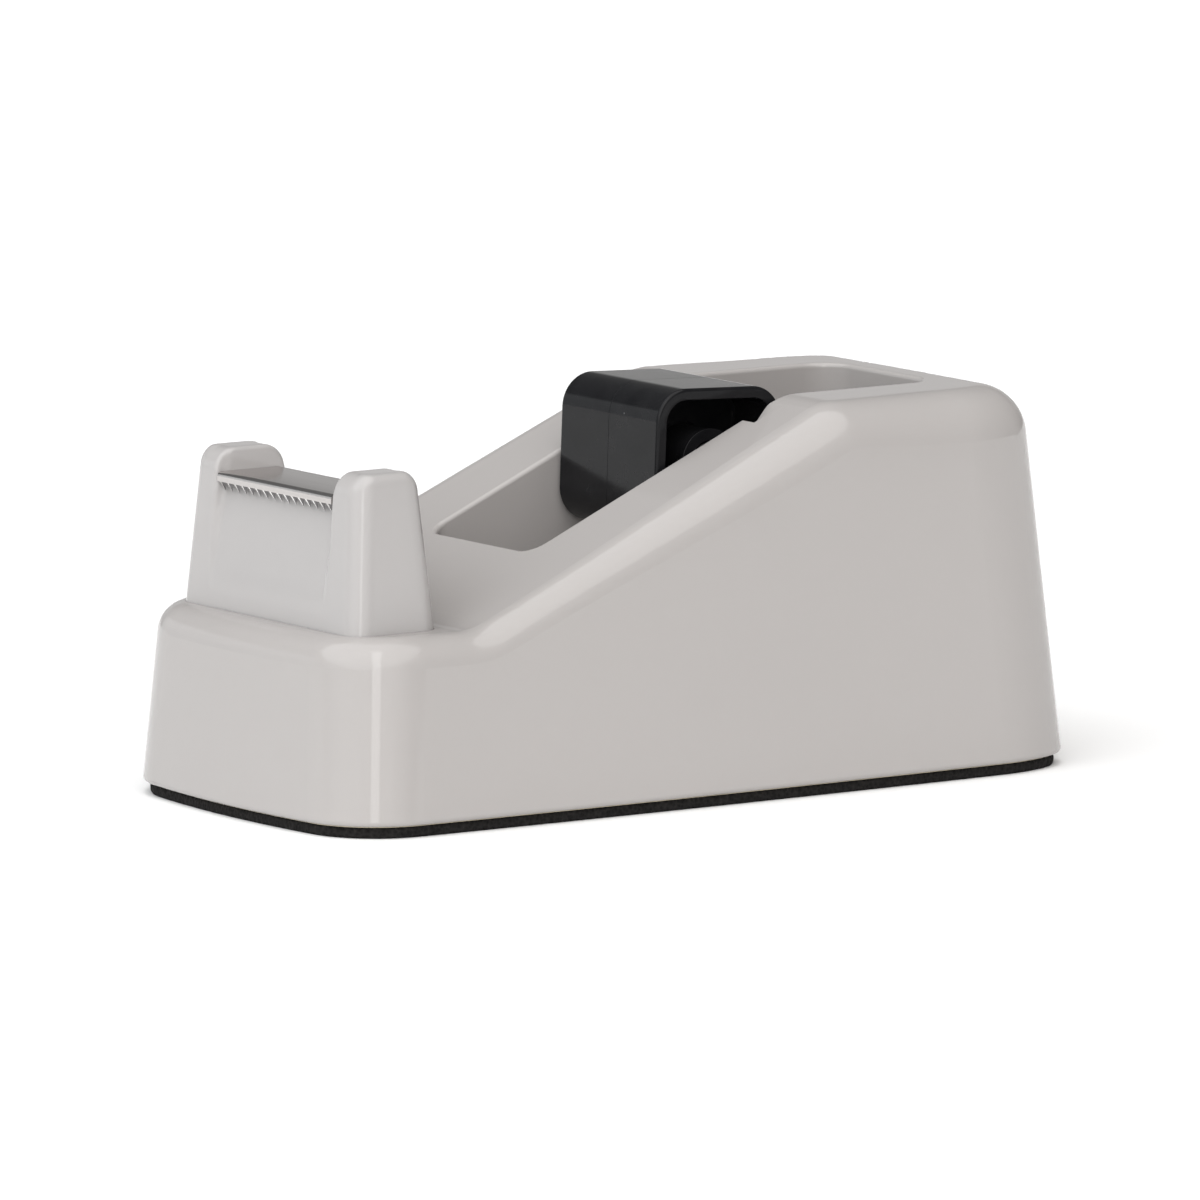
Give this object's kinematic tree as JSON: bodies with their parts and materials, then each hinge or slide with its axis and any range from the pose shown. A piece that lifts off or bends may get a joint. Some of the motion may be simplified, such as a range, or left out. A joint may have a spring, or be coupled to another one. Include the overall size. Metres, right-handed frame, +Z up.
{
  "type": "tape dispenser",
  "caption": "Small weighted desk tape dispenser: drafted shell with a tape well, a cheeked cutter tower with a toothed blade, and a lift-out square hub on a slotted axle.",
  "frame": {"origin": "on the desk under the middle of the shell's rim (bottom centre of the bounding box)", "axes": "+Z up; -Y towards the cutter, +Y to the rear; +X to the side that is on the right when the cutter faces the viewer"},
  "size_m": [0.0628, 0.1226, 0.0545],
  "materials": {
    "shell_plastic": "glossy light grey injection-moulded plastic",
    "tower_plastic": "glossy light grey injection-moulded plastic",
    "blade_steel": "bright rolled stainless strip with ground teeth",
    "screw_steel": "zinc-plated steel",
    "base_plastic": "plain moulded plastic",
    "pad_foam": "matt black closed-cell foam",
    "adhesive_film": "double-sided adhesive film",
    "ballast_iron": "rough grey cast iron",
    "axle_plastic": "black acetal",
    "hub_plastic": "glossy black moulded plastic"
  },
  "bodies": {
    "body": {"body_shell": "shell_plastic", "cutter_tower": "tower_plastic", "cutter_blade": "blade_steel", "tower_screws": "screw_steel", "base_plate": "base_plastic", "base_screws": "screw_steel", "foam_pad": "pad_foam", "pad_adhesive": "adhesive_film", "ballast_left": "ballast_iron", "ballast_right": "ballast_iron", "ballast_front": "ballast_iron", "ballast_screws": "screw_steel"},
    "axle": {"hub_axle": "axle_plastic"},
    "hub": {"hub_half_left": "hub_plastic", "hub_half_right": "hub_plastic"}
  },
  "joints": [
    {"name": "hub_lift", "type": "slide", "parent": "body", "child": "axle", "axis": [0, 0.6428, 0.766], "range_m": [0, 0.04]},
    {"name": "hub_spin", "type": "hinge", "parent": "axle", "child": "hub", "pos_m": [0, 0.0118, 0.04401], "axis": [1, 0, 0], "continuous": true}
  ]
}
